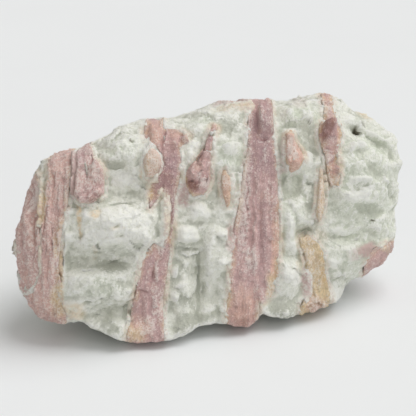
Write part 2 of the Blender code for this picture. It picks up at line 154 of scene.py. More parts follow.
# Where the albite grew over a crystal: how far in from the crystal's rim, how high, and how far the
# crystal lies lower there, in mm.
CRUST_REACH = 6.0
CRUST_RISE = 0.25
CRUST_SINK = 0.5

# Crystals that touch, and how high the seam of albite between them rises and how far it grows over
# them; how near to both it stays and over what length it fades, all in mm.
SEAMS = {
    ("end_crystal_inner", "end_crystal_outer"): (0.75, 2.5),
    ("second_crystal", "knob_crystal"): (0.4, 0.7),
    ("end_crystal_inner", "stub_crystal"): (0.2, 2.5),
}
SEAM_REACH = 1.15
SEAM_EDGE = 0.4

# A seam ends where the surface turns away: the cosine of the turn from the viewer at which it fades.
SEAM_FACING = 0.5

# How much softer the forms below are than the softness they are given, and how high lumps and deep
# grooves are beside what they are given.
SOFTER = 0.35
LUMPS = 1.7
GROOVES = 1.05

# Ledges, lumps and grooves (-) of the show face: middle across and up, half width, half height, all
# in mm; lean in degrees; rise in mm; softness of the sides; how much higher the top is than the foot.
RELIEF = [
    # Under the dome at the upper left, the ledges down to the base.
    (-22.0, 10.0, 3.7, 1.0, 0, -1.0, 0.7, 0),
    (-19.3, 5.8, 4.6, 2.6, 3, 0.9, 0.35, -0.4),
    (-18.8, 4.2, 1.9, 1.2, 0, -0.6, 0.8, 0),
    (-20.0, 0.8, 4.4, 0.5, 2, -0.9, 0.8, 0),
    (-26.4, 2.6, 2.6, 1.4, 8, -0.8, 0.7, 0),
    (-20.9, -4.0, 9.3, 5.4, -2, 1.6, 0.6, 0.2),
    (-21.8, -4.4, 1.6, 0.6, 3, -0.7, 0.8, 0),
    (-16.7, -4.6, 1.2, 0.6, -30, -0.6, 0.8, 0),
    (-14.6, -7.0, 2.1, 1.9, -35, 0.6, 0.6, 0),
    (-25.8, -10.4, 2.1, 0.5, 5, -0.6, 0.8, 0),
    (-21.6, -13.7, 4.6, 2.1, 0, -1.0, 0.5, 0),
    (-28.3, -14.3, 3.2, 0.5, 4, 0.7, 0.8, 0),
    (-29.2, -17.9, 4.6, 3.2, 0, 0.5, 0.5, 0.3),
    (-20.0, -19.3, 3.0, 2.6, 0, 0.8, 0.35, 0.2),
    (-17.9, -21.8, 2.1, 0.6, 25, -0.9, 0.8, 0),
    (-31.6, -22.5, 2.8, 2.1, -10, 0.5, 0.6, 0),
    (-28.1, -22.0, 1.2, 0.5, -10, -0.8, 0.8, 0),
    (-25.8, -24.6, 2.1, 0.4, -3, -0.8, 0.8, 0),
    (-17.9, -26.4, 0.9, 0.6, 20, -0.9, 0.8, 0),
    (-22.3, -28.1, 5.1, 1.9, -12, 0.5, 0.5, 0),
    (-32.0, -0.5, 2.1, 1.4, 0, 0.6, 0.6, 0),
    (-32.2, -7.0, 1.6, 1.9, 0, 0.7, 0.6, 0),
    (-27.8, -2.3, 1.9, 1.6, 0, 0.3, 0.7, 0),
    (-20.4, 14.4, 3.2, 1.9, 20, 0.5, 0.7, 0),
    (-17.9, 15.3, 0.7, 0.7, 0, -0.6, 0.8, 0),
    # Between the second crystal and the main one.
    (-4.9, -6.0, 3.2, 2.8, 5, 1.0, 0.35, 0),
    (-4.6, -9.5, 3.0, 0.4, -3, -1.0, 0.8, 0),
    (-2.1, -0.7, 3.5, 2.6, 0, 0.7, 0.45, 0),
    (-2.2, -17.9, 0.6, 10.4, -1, -1.2, 0.8, 0),
    (3.2, -6.0, 1.9, 1.4, -20, 0.7, 0.5, 0),
    (3.7, -12.1, 1.6, 1.4, -15, 0.7, 0.5, 0),
    (-7.7, -14.4, 1.2, 1.6, 0, 0.7, 0.5, 0),
    (-6.5, -17.6, 2.8, 0.5, 0, 0.6, 0.8, 0),
    (-7.9, -20.6, 1.6, 2.1, 0, 0.7, 0.5, 0),
    (-0.9, -19.0, 1.2, 2.6, 0, -0.9, 0.7, 0),
    (-3.0, -27.1, 6.5, 2.1, 8, 0.4, 0.6, 0),
    (0.9, -15.5, 2.1, 2.8, 0, 0.4, 0.6, 0),
    (-5.1, -12.5, 1.9, 1.9, 0, 0.3, 0.6, 0),
    (-3.5, 13.5, 2.1, 3.2, -12, 0.6, 0.5, 0),
    (-4.4, 11.1, 1.4, 1.6, 0, 0.5, 0.6, 0),
    (5.6, 13.5, 2.8, 2.1, 0, 0.7, 0.35, 0.3),
    (4.6, 18.6, 3.0, 2.1, 0, -0.5, 0.7, 0),
    (5.6, 5.1, 1.6, 3.2, -5, 0.5, 0.6, 0),
    (2.6, 4.2, 0.7, 2.3, -5, -0.7, 0.8, 0),
    (4.9, -0.7, 1.9, 1.2, 0, 0.5, 0.6, 0),
    (5.3, -5.6, 1.4, 2.8, -8, -0.9, 0.6, 0),
    (-1.9, 18.1, 3.2, 1.9, 10, 0.3, 0.7, 0),
    # Right of the main crystal.
    (19.0, 16.9, 2.1, 2.1, 0, 0.6, 0.5, 0),
    (23.0, 11.1, 1.9, 2.1, 0, 0.6, 0.5, 0),
    (20.4, 8.8, 1.6, 0.7, 0, -0.9, 0.8, 0),
    (23.9, 5.6, 2.3, 0.4, -32, -0.8, 0.8, 0),
    (23.7, -0.2, 2.1, 1.9, 0, -0.7, 0.6, 0),
    (19.0, -6.3, 1.9, 8.4, 0, 0.5, 0.5, 0),
    (22.5, -5.6, 1.4, 1.6, -30, -0.8, 0.8, 0),
    (22.3, -10.9, 0.5, 0.6, 0, -0.9, 0.8, 0),
    (19.0, -15.5, 2.1, 1.9, 0, 0.5, 0.5, 0),
    (16.7, -23.2, 4.2, 1.6, 5, 0.5, 0.5, 0),
    (17.4, 6.5, 1.2, 1.9, 0, -0.5, 0.7, 0),
    (23.0, 21.1, 2.3, 2.6, 0, 0.6, 0.5, 0),
    (18.8, 22.0, 1.6, 2.3, 0, 0.4, 0.6, 0),
    (23.4, 19.5, 0.7, 0.5, 0, -0.7, 0.8, 0),
    # The right end.
    (37.1, 17.4, 5.1, 0.8, -38, -1.1, 0.7, 0),
    (42.9, 11.8, 0.9, 2.1, 25, -0.9, 0.7, 0),
    (34.3, 14.2, 3.5, 1.6, 10, 0.7, 0.45, 0),
    (38.3, 9.0, 2.8, 2.3, 0, -0.6, 0.5, 0),
    (35.7, 6.5, 3.2, 1.2, 5, 0.5, 0.6, 0),
    (42.6, 4.2, 0.7, 3.5, 2, -1.3, 0.6, 0),
    (37.1, -0.5, 3.9, 2.3, -8, -0.9, 0.5, 0),
    (38.6, -3.0, 0.6, 0.4, 0, -1.2, 0.8, 0),
    (31.8, -5.3, 4.6, 1.6, 3, 0.6, 0.5, 0),
    (38.7, -10.4, 3.2, 2.3, 10, -0.4, 0.7, 0),
    (29.2, -12.5, 2.6, 2.3, 0, 0.5, 0.5, 0),
    (29.2, -19.3, 2.6, 1.9, 25, 0.6, 0.5, 0),
    (32.2, 20.9, 2.1, 1.4, -20, 0.4, 0.6, 0),
    (33.4, 2.8, 3.2, 1.9, 0, 0.4, 0.6, 0),
    (40.8, -6.3, 1.9, 2.8, 0, 0.3, 0.6, 0),
    (34.6, 18.0, 1.1, 1.4, -35, -0.7, 0.5, 0),
    (31.1, 25.8, 1.2, 1.4, 0, -1.2, 0.6, 0),
    (45.2, 11.1, 1.2, 1.4, 0, -1.2, 0.6, 0),
    # On the crystals.
    (-10.2, -2.6, 1.3, 7.0, -4, 0.7, 0.2, 0),
    (-28.3, 8.4, 0.4, 3.0, 0, -0.35, 0.8, 0),
    (-26.0, 2.8, 2.4, 1.3, 8, 0.6, 0.1, 0),
    (-25.6, 7.9, 2.0, 2.6, 0, 0.5, 0.2, 0),
    (-2.8, 8.6, 1.8, 2.4, -25, 0.8, 0.1, 0),
    (-0.9, 5.2, 1.6, 2.2, -20, 0.5, 0.1, 0),
    (-3.2, 5.6, 0.5, 2.2, -40, -0.7, 0.8, 0),
    (20.5, 9.4, 1.4, 1.4, 0, 0.9, 0.1, 0),
    (18.6, 14.6, 1.6, 2.4, -10, 0.6, 0.1, 0),
    (27.8, 18.6, 1.8, 1.4, 0, 0.8, 0.1, 0),
    (28.2, 15.2, 1.6, 1.4, 0, 0.6, 0.1, 0),
    (27.8, 12.9, 1.9, 0.5, 0, -0.6, 0.8, 0),
    (-36.6, -8.6, 0.4, 4.6, -4, -0.9, 0.8, 0),
    (-34.9, -2.5, 0.4, 8.5, -2, -0.4, 0.8, 0),
    (-33.0, -12.0, 0.5, 9.0, -2, 0.6, 0.8, 0),
    (-40.2, -4.5, 0.4, 9.0, -5, -0.8, 0.8, 0),
    (-41.8, -2.0, 1.2, 3.2, -10, 0.7, 0.6, 0),
    (-36.2, 7.5, 0.4, 4.5, -4, -0.3, 0.8, 0),
    (-15.0, -19.7, 2.2, 0.35, -20, -0.9, 0.8, 0),
    (-12.6, -15.6, 0.35, 4.6, -8, -0.7, 0.8, 0),
    (-12.3, -21.8, 1.2, 1.6, 0, 0.6, 0.6, 0),
    (-13.6, 11.8, 2.6, 3.9, 0, 0.7, 0.3, 0),
    (9.2, 2.0, 0.4, 13.0, -3, -0.5, 0.8, 0),
    (10.8, -3.0, 0.5, 15.0, -2, 0.45, 0.8, 0),
    (13.5, 20.4, 2.1, 3.7, 0, 1.5, 0.0, 0),
    (10.9, 19.3, 0.7, 2.8, 0, -0.3, 0.8, 0),
    (13.0, 16.0, 2.1, 0.7, 0, -1.0, 0.8, 0),
    (12.1, -7.4, 0.5, 12.8, -1, -0.5, 0.8, 0),
    (14.4, 1.9, 0.3, 11.6, 0, -0.3, 0.8, 0),
    (7.4, -21.8, 3.9, 5.1, 3, 0.4, 0.4, 0),
    (-12.5, 16.9, 2.3, 3.2, 0, 0.8, 0.35, 0),
    (-10.3, 16.4, 0.5, 4.2, -4, -1.5, 0.8, 0),
    (-5.3, 16.2, 1.2, 1.2, 0, 0.5, 0.5, 0),
    (-11.8, -15.5, 0.7, 2.8, -8, 0.5, 0.6, 0),
    (-10.0, -21.3, 0.5, 8.1, -4, -0.6, 0.8, 0),
    (27.8, 17.2, 2.1, 3.0, 0, 0.9, 0.4, 0),
    (27.8, 13.9, 1.9, 0.5, 0, -0.4, 0.8, 0),
    (-38.0, -3.9, 0.3, 10.4, -4, -0.6, 0.8, 0),
    (-36.2, -7.4, 0.3, 9.3, -3, -0.4, 0.8, 0),
    (19.3, 9.7, 1.4, 1.4, 0, 0.5, 0.6, 0),
]

# Where the show face changes colour, is crusted over with albite, or has rims that are bare of it,
# and where painted shade and painted light lie on it: middle across and up, half width, half height,
# all in mm; lean in degrees; strength.
STAINS = {
    "mauve": [
        (-12.2, 10.6, 1.5, 1.9, 0, 0.35),
        (12.5, 14.6, 5.1, 11.1, 0, 0.9),
        (12.5, -6.3, 1.6, 15.1, 0, 0.6),
        (-9.3, 8.6, 3.2, 7.0, -12, 1.0),
        (-8.3, -1.8, 1.3, 8.6, -4, 1.0),
        (-13.0, -12.1, 2.1, 3.2, 0, 0.5),
        (-40.6, 3.0, 1.6, 4.6, -12, 0.4),
        (-41.8, -9.7, 2.3, 5.1, 0, 0.5),
        (-29.2, 12.3, 1.2, 2.8, 0, 0.6),
        (0.7, 14.6, 0.9, 5.1, -12, 0.6),
        (27.6, 17.2, 2.1, 3.0, 0, 0.9),
        (24.0, -15.8, 1.0, 2.4, 0, 0.3),
    ],
    "peach": [
        (7.4, -22.5, 4.6, 6.0, 0, 0.8),
        (15.6, -10.9, 1.2, 13.5, 0, 1.0),
        (-12.5, 16.9, 2.8, 4.0, 0, 1.0),
        (-7.6, 17.6, 2.2, 1.6, 0, 0.7),
        (-15.3, -27.8, 3.2, 3.7, 0, 0.8),
        (-33.2, 10.0, 3.2, 2.8, 0, 0.5),
        (-37.8, -22.7, 4.6, 3.2, 0, 0.5),
        (-26.2, 8.4, 2.8, 3.2, 0, 0.4),
        (-2.8, 10.0, 1.9, 2.1, 0, 0.5),
        (3.9, 7.0, 1.4, 2.3, 0, 0.9),
        (19.5, 13.5, 2.1, 3.2, 0, 0.6),
        (27.8, 24.6, 1.6, 1.9, 0, 0.6),
        (28.6, 8.0, 1.6, 3.6, 0, 0.8),
        (25.8, 4.2, 0.9, 5.1, -3, 0.8),
        (39.0, -11.6, 3.7, 2.8, 0, 0.3),
        (24.6, -22.0, 3.0, 2.4, 0, 0.8),
        (24.8, -12.5, 1.4, 3.0, 8, 0.4),
    ],
    "straw": [
        (-14.4, 8.4, 0.8, 2.0, 8, 0.9),
        (-38.3, 0.7, 0.6, 7.0, -4, 0.9),
        (-35.0, -21.3, 1.8, 4.4, 0, 0.8),
        (-16.6, -28.6, 2.2, 2.2, 0, 0.7),
        (-13.0, 10.0, 2.6, 3.5, 0, 0.5),
        (4.4, 2.1, 0.9, 2.1, 0, 0.4),
        (25.8, -0.9, 0.9, 2.1, 0, 0.6),
        (23.9, -12.5, 2.3, 6.5, 8, 1.0),
        (-16.4, -12.0, 0.9, 5.0, -8, 0.6),
        (-18.0, -20.5, 0.9, 4.0, -8, 0.5),
        (41.3, -9.7, 1.2, 1.2, 0, 0.5),
        (28.6, 6.5, 1.8, 2.2, 0, 0.5),
        (14.8, -18.6, 1.8, 4.4, 0, 0.8),
        (3.9, -21.3, 0.7, 5.1, 0, 0.5),
    ],
    "sugar": [
        (8.6, 0.7, 1.9, 16.2, -4, 0.7),
        (12.5, -21.3, 3.7, 5.1, 0, 0.4),
        (-11.8, -14.8, 0.9, 3.2, -8, 0.7),
        (-33.9, 4.2, 2.1, 3.7, 0, 0.6),
        (-35.0, -9.7, 1.8, 10.5, -3, 0.6),
        (-41.0, -14.0, 1.6, 5.0, 6, 0.6),
        (-11.0, -9.0, 1.4, 2.4, 0, 0.6),
        (-11.5, -22.0, 2.6, 5.0, 0, 0.5),
        (13.2, 19.4, 2.2, 3.2, 0, 0.2),
        (28.0, 11.6, 1.6, 2.6, 0, 0.6),
        (-37.1, -18.3, 3.2, 2.8, 0, 0.5),
        (-26.9, 8.8, 2.1, 2.8, 0, 0.7),
        (-13.0, 10.0, 2.1, 3.0, 0, 0.6),
        (-1.2, 6.0, 1.9, 2.6, 0, 1.0),
        (19.5, 13.2, 1.8, 3.4, 0, 1.0),
        (27.4, 23.2, 1.6, 1.9, 0, 0.6),
        (13.2, 12.1, 0.4, 3.2, 0, 0.8),
        (24.4, -13.0, 2.4, 8.0, 8, 0.5),
        (25.5, -22.0, 2.8, 2.6, 0, 0.6),
        (25.4, 1.8, 0.8, 6.0, -3, 0.5),
        (-26.0, 6.6, 2.2, 2.6, 0, 0.6),
        (10.0, -12.1, 1.8, 4.4, 0, 0.8),
        (10.4, 20.0, 1.2, 3.6, 0, 0.4),
        (14.6, 1.9, 1.6, 8.0, 0, 0.3),
        (-14.2, -26.8, 3.0, 2.6, 0, 0.7),
        (4.1, 6.0, 1.2, 2.8, 0, 0.6),
        (28.8, 6.5, 1.4, 2.0, 0, 0.7),
        (-40.3, 1.9, 1.4, 3.8, -8, 1.0),
        (14.6, -18.6, 1.6, 2.4, 0, 0.6),
    ],
    # Partly the darkest tourmaline, and partly painted shade: under the stub crystal's lower edge, on
    # the lozenge's downward facet and at the main crystal's foot.
    "deep_pink_and_shade": [
        (-26.3, 2.1, 2.4, 1.1, 8, 0.6),
        (-3.9, 5.2, 2.6, 1.6, -40, 1.0),
        (-10.0, 6.6, 2.6, 3.4, 0, 0.4),
        (-12.5, 3.9, 1.3, 2.8, 0, 0.35),
        (-8.2, 14.0, 1.6, 3.6, 0, 0.25),
        (27.1, 17.2, 1.9, 2.8, 0, 0.9),
        (25.2, -22.4, 2.0, 1.4, 0, 0.3),
        (-40.6, 1.9, 1.4, 5.1, -10, 0.1),
        (-16.2, -19.0, 1.2, 3.0, 8, 0.2),
        (-12.5, -15.5, 0.7, 1.6, 0, 0.4),
        (-8.1, -14.0, 0.5, 8.0, 3, 0.3),
        (7.4, -24.0, 3.7, 3.6, 0, 0.4),
    ],
    "ochre": [
        (-29.9, -2.4, 0.8, 6.2, 3, 0.8),
        (-38.8, 0.5, 1.2, 6.5, -4, 0.5),
        (-26.3, -1.2, 1.5, 1.7, -30, 0.7),
        (-26.1, -10.2, 0.6, 2.2, 0, 0.7),
        (-31.0, -23.2, 3.4, 2.1, -10, 0.5),
        (36.4, 21.6, 2.8, 0.7, -28, 0.5),
        (5.6, 23.4, 6.5, 0.8, 8, 0.4),
        (-33.9, -14.4, 0.9, 9.3, 0, 0.35),
        (-13.5, 4.2, 1.4, 3.2, 0, 0.35),
        (-6.0, 7.7, 1.2, 2.8, 0, 0.3),
        (25.5, -6.3, 2.8, 2.8, 0, 0.25),
        (21.3, -12.5, 1.2, 3.2, 0, 0.3),
        (-18.1, -28.3, 1.9, 1.9, 0, 0.3),
        (26.5, -13.8, 0.9, 6.2, 10, 0.9),
        (-34.4, -20.2, 1.4, 4.6, 2, 0.9),
        (-35.4, -8.0, 0.7, 7.0, -2, 0.6),
        (-21.5, -4.6, 1.8, 0.5, 3, 0.3),
        (-17.0, -4.4, 1.2, 0.5, 0, 0.35),
        (-15.4, 7.8, 0.6, 2.4, 0, 0.6),
        (-14.4, 9.0, 0.8, 3.0, 8, 0.5),
    ],
    "green": [
        (37.0, -1.0, 13.0, 26.0, 0, 0.5),
        (20.0, 4.0, 5.0, 24.0, 0, 0.35),
        (5.1, 12.3, 3.9, 3.9, 0, 0.7),
        (21.8, 21.3, 5.6, 3.7, 0, 0.8),
        (39.0, 15.3, 5.1, 3.2, -35, 0.7),
        (36.4, 7.0, 5.1, 3.5, 0, 0.4),
        (-20.4, 13.5, 5.1, 3.2, 15, 0.5),
        (-25.1, -17.9, 5.6, 3.2, 0, 0.35),
        (-0.7, 19.3, 4.2, 2.8, 0, 0.4),
    ],
    "blush": [
        (-31.3, 7.8, 1.3, 7.0, 0, 1.6),
        (-5.6, 3.0, 1.9, 3.7, -8, 1.0),
        (5.6, -6.5, 1.6, 4.2, -5, 1.0),
        (17.2, 12.3, 1.2, 5.1, 0, 0.3),
        (0.0, 7.7, 1.4, 2.3, 0, 0.3),
        (21.3, 24.4, 2.3, 1.2, 0, 0.3),
        (5.0, 24.6, 6.0, 0.7, 5, 0.9),
        (22.6, -17.4, 1.7, 4.0, 6, 0.8),
        (37.0, -9.6, 3.2, 1.8, 30, 1.2),
        (34.4, -10.4, 2.8, 2.2, 20, 0.5),
        (17.0, 9.8, 1.4, 2.6, 0, 0.6),
        (-12.2, 10.2, 2.7, 3.2, 0, 0.45),
    ],
    # Greyer, glassy albite, and painted shade on the low parts of the show face and in its recesses.
    "glassy": [
        (-21.2, -13.9, 4.2, 2.4, 0, 0.9),
        (-27.9, -17.9, 4.6, 3.2, 0, 1.1),
        (-19.8, -19.0, 3.4, 2.6, 0, 1.3),
        (-22.7, -27.7, 6.5, 2.8, -10, 1.7),
        (-22.2, -9.5, 6.5, 1.8, 0, 0.5),
        (-22.0, 10.3, 3.6, 1.8, 0, 0.6),
        (-6.3, -13.9, 2.8, 3.6, 0, 0.6),
        (-5.3, -21.3, 4.0, 3.0, 0, 0.7),
        (-3.0, -26.0, 6.5, 2.6, 8, 2.0),
        (6.0, 5.3, 1.9, 3.4, 0, 1.1),
        (17.4, -23.6, 4.6, 2.4, 5, 2.0),
        (34.3, 13.7, 3.2, 2.2, 0, 0.5),
        (38.3, 9.0, 3.2, 2.4, 0, 0.5),
        (37.6, -0.9, 4.2, 2.6, 0, 0.5),
        (29.9, -12.1, 3.4, 3.4, 0, 0.4),
        (21.3, 21.6, 5.0, 3.2, 0, 0.4),
        (4.6, 18.9, 3.4, 3.0, 0, 0.6),
        (34.7, 21.3, 3.6, 2.0, -30, 0.7),
        (37.5, -9.8, 3.6, 2.6, 20, 1.5),
    ],
    # Crushed white albite, and painted light on ledge tops that face up.
    "white": [
        (-19.3, 6.7, 4.4, 2.4, 3, 1.5),
        (29.2, -19.0, 2.8, 2.6, 15, 1.6),
        (35.8, 4.2, 4.6, 2.4, 0, 1.1),
        (19.3, -15.8, 2.4, 2.6, 0, 1.3),
        (23.4, 11.4, 2.2, 2.6, 0, 0.6),
        (-4.6, -6.0, 2.8, 2.4, 0, 0.3),
        # A painted glint on the dome.
        (-14.2, -4.6, 1.2, 0.9, 0, 2.0),
        (-22.5, -14.6, 4.2, 0.8, 0, 0.4),
    ],
    "crust": [
        (-9.7, -2.3, 1.2, 6.8, -6, 1.0),
        (-38.4, 7.4, 0.8, 4.4, -8, 0.8),
        (-44.6, -9.6, 2.0, 3.0, 0, 1.0),
        (-42.6, -17.0, 1.6, 4.6, 8, 1.0),
        (0.4, 12.9, 1.8, 0.4, -30, 0.8),
        (1.2, 17.3, 1.2, 0.5, 20, 0.8),
        (3.0, 10.2, 1.6, 0.8, 20, 0.6),
        (-13.6, 6.4, 2.6, 0.5, -12, 0.6),
        (5.6, 22.4, 5.4, 1.1, 5, 0.8),
        (28.6, 3.7, 1.8, 0.5, 0, 0.6),
        (6.0, 23.6, 6.0, 1.5, 5, 1.0),
        (22.9, -17.6, 1.9, 4.2, 6, 0.9),
        (-28.3, 8.8, 0.6, 1.9, 0, 0.8),
        (-39.1, -3.4, 0.6, 1.8, -4, 1.0),
    ],
    "bare": [
        (-12.5, 9.7, 4.0, 5.0, 0, 1.0),
        (4.3, 4.4, 2.2, 7.0, 0, 1.0),
        (25.8, 3.0, 2.4, 8.0, -6, 0.8),
        (-2.3, 7.0, 4.6, 5.6, 0, 0.7),
    ],
    # Painted shade in the pits, under the stub crystal's lower edge and in a recess at the right end.
    "shadow_spots": [
        (34.6, 18.0, 1.2, 1.5, -35, 0.85),
        (38.6, -3.0, 0.6, 0.3, 0, 0.9),
        (-18.2, 15.4, 0.4, 0.4, 0, 0.9),
        (22.3, -10.9, 0.5, 0.5, 0, 0.6),
        (23.4, 19.5, 0.5, 0.3, 0, 0.6),
        (36.4, 19.5, 1.2, 0.5, -35, 0.5),
        (-26.5, 1.2, 2.4, 0.5, 8, 0.25),
        (38.1, -10.2, 3.4, 2.8, 20, 0.12),
    ],
}
# The stains each finish reads. The deep-pink and glassy stains are partly painted shade, the white
# stain is partly painted light, and the pit stain is painted shade.
CRYSTAL_STAINS = ("mauve", "peach", "straw", "sugar", "deep_pink_and_shade", "ochre")
ALBITE_STAINS = ("ochre", "green", "blush", "shadow_spots", "glassy", "white")
STAIN_EDGE = 0.6

# The floor's faint clouds: their size in mm, and how dark their middles are.
PAPER_CLOUD = 40.0
PAPER_SHADE = 0.98

# Where the broad lights stand, in metres, and the colour of the light from all around. The lights
# shine at the middle of the table.
TOP_LIGHT = (0.24, 0.0, 0.48)
FRONT_LIGHT = (0.10, -0.42, 0.26)
FILL_COLOUR = (1.0, 0.965, 0.92)

# What a crystal has all over: how its length leans in degrees, how wide and deep its ribs are in
# mm, how much its blocks stand out, if not as much as usual, and how strong its stains are.
CRYSTALS = {
    "main_crystal": dict(lean=-1, rib=1.5, depth=0.30, mauve=0.15),
    "second_crystal": dict(lean=-5, rib=1.2, depth=0.28, mauve=0.4),
    "end_crystal_inner": dict(lean=-3, rib=0.9, depth=0.30, sugar=0.3, peach=0.4),
    "end_crystal_outer": dict(lean=-8, rib=1.3, depth=0.30, sugar=0.35, peach=0.4),
    "stub_crystal": dict(lean=0, rib=1.2, depth=0.12, blocks=0.4, sugar=0.4),
    "knob_crystal": dict(lean=0, rib=1.2, depth=0.05, sugar=0.6, peach=0.2),
    "lozenge_crystal": dict(lean=-12, rib=1.0, depth=0.12, blocks=0.7),
    "short_sliver": dict(lean=8, rib=0.8, depth=0.10, peach=0.4, straw=0.3),
    "tilted_crystal": dict(lean=12, rib=1.0, depth=0.12),
    "notched_crystal": dict(lean=2, rib=1.0, depth=0.15, blocks=0.5),
    "long_sliver": dict(lean=-5, rib=0.8, depth=0.10, peach=0.5, straw=0.6, sugar=0.5),
    "stained_crystal": dict(lean=10, rib=1.4, depth=0.20, blocks=0.4),
    "corner_crystal": dict(lean=-40, rib=1.4, depth=0.15, mauve=0.6),
    "crest_crystal": dict(lean=2, rib=1.0, depth=0.10),
    "back_crystal_tall": dict(lean=4, rib=1.5, depth=0.28, mauve=0.4),
    "back_crystal_short": dict(lean=0, rib=1.3, depth=0.25, mauve=0.6, deep_pink_and_shade=0.2),
    "back_sliver": dict(lean=2, rib=0.9, depth=0.12, peach=0.4),
}


# ---------------------------------------------------------------- what a user would change


def length(name, description, default, least=0.0):
    """A length that can be changed, given in mm."""
    return FloatProperty(
        name=name, description=description, default=default * MM, min=least * MM, unit="LENGTH",
        precision=5)


def rounds(name, description, default):
    """How often the surface is smoothed."""
    return IntProperty(name=name, description=description, default=default, min=0, max=40)


def colour(name, description, default):
    """A colour that can be changed."""
    return FloatVectorProperty(
        name=name, description=description, default=default, min=0, max=1, size=3, subtype="COLOR")


class StoneSizes(PropertyGroup):
    """Sizes of the stone's faces, blocks and grain."""

    albite_face: length("Albite face", "Size of the faces the albite is remade in", 0.445, 0.3)
    crystal_face: length("Crystal face", "Size of the faces a crystal is remade in", 0.28, 0.2)
    albite_smoothing: rounds("Albite smoothing", "Rounds of smoothing before the albite's detail", 7)
    crystal_smoothing: rounds("Crystal smoothing", "Rounds of smoothing before a crystal's detail", 3)
    swell_rise: length("Swells", "Height of the slow swells of the whole stone", 0.35)
    block_rise: FloatProperty(
        name="Blocks", description="How much the albite's broken blocks stand out, as a share",
        default=0.22, min=0.0, max=1.0, subtype="FACTOR")
    grain_rise: length("Grain", "Height of the albite's grain", 0.16)
    crystal_grain: length("Crystal grain", "Height of the grain on the crystals", 0.13)


class StoneColours(PropertyGroup):
    """Colours of the albite, the crystals and what stains them, and of the painted shade and light on
    them.
    """

    albite: colour("Albite", "The albite's own white", (0.79, 0.80, 0.725))
    # Also the painted shade in the albite's hollows and grooves and on its low parts.
    albite_glassy_and_shade: colour("Albite shade", "The albite's glassy, greyer patches", (0.57, 0.585, 0.505))
    # Also the painted light on ledge tops and the painted glint.
    albite_grain: colour("Albite grain", "Crushed, brightest grains", (0.90, 0.905, 0.86))
    albite_green: colour("Green albite", "The albite where it is greenish", (0.66, 0.71, 0.58))
    ochre: colour("Ochre", "Iron stain on the albite and on the crystals' rims", (0.76, 0.56, 0.31))
    blush: colour("Blush", "Crushed tourmaline in the albite", (0.60, 0.45, 0.42))
    # Painted shade in the pits, under the stub crystal and in a recess.
    shadow_spots: colour("Pit", "The inside of the small dark pits", (0.12, 0.10, 0.06))
    rose: colour("Rose", "The tourmaline's usual pink", (0.665, 0.45, 0.43))
    mauve: colour("Mauve", "The tourmaline's glassy, bluer parts", (0.48, 0.315, 0.325))
    peach: colour("Peach", "The tourmaline's paler, warmer parts", (0.76, 0.50, 0.41))
    straw: colour("Straw", "Weathered tourmaline", (0.76, 0.61, 0.39))
    sugar: colour("Sugar", "White grains on the crystals", (0.90, 0.84, 0.79))
    # Also painted shade under the stub crystal, on downward facets and at the main crystal's foot.
    deep_pink_and_shade: colour("Deep pink", "The darkest tourmaline", (0.32, 0.165, 0.135))


class TableLook(PropertyGroup):
    """The light table the stone stands on, and the camera."""

    floor_radius: FloatProperty(
        name="Floor radius", description="How far the floor reaches", default=3.0, unit="LENGTH")
    floor_colour: colour("Floor", "The floor's colour", (0.83, 0.853, 0.868))
    top_power: FloatProperty(
        name="Top light", description="Strength of the broad light above", default=1.85, min=0)
    front_power: FloatProperty(
        name="Front light", description="Strength of the broad light beside the camera",
        default=0.42, min=0)
    spread: FloatProperty(
        name="Spread", description="How wide the broad lights look from the table",
        default=math.radians(50), subtype="ANGLE")
    fill: FloatProperty(
        name="Fill", description="Strength of the light from all around", default=0.40, min=0)
    lens: FloatProperty(
        name="Lens", description="The camera's focal length in mm", default=156.6, min=20)


# ---------------------------------------------------------------- shader nodes


class Socket:
    """A node's output, with which sums can be written: each one adds a Math node."""

    def __init__(self, finish, output):
        self.finish = finish
        self.output = output

    def maths(self, operation, *values):
        return self.finish.node("ShaderNodeMath", dict(operation=operation), dict(enumerate(values)))

    def __add__(self, other):
        return self.maths("ADD", self, other)

    def __radd__(self, other):
        return self.maths("ADD", other, self)

    def __sub__(self, other):
        return self.maths("SUBTRACT", self, other)

    def __rsub__(self, other):
        return self.maths("SUBTRACT", other, self)

    def __mul__(self, other):
        return self.maths("MULTIPLY", self, other)

    def __rmul__(self, other):
        return self.maths("MULTIPLY", other, self)

    def step(self, low, high):
        """0 up to low, 1 from high on, and a smooth rise between them."""
        return self.finish.node(
            "ShaderNodeMapRange", dict(interpolation_type="SMOOTHSTEP"),
            {"Value": self, "From Min": low, "From Max": high})


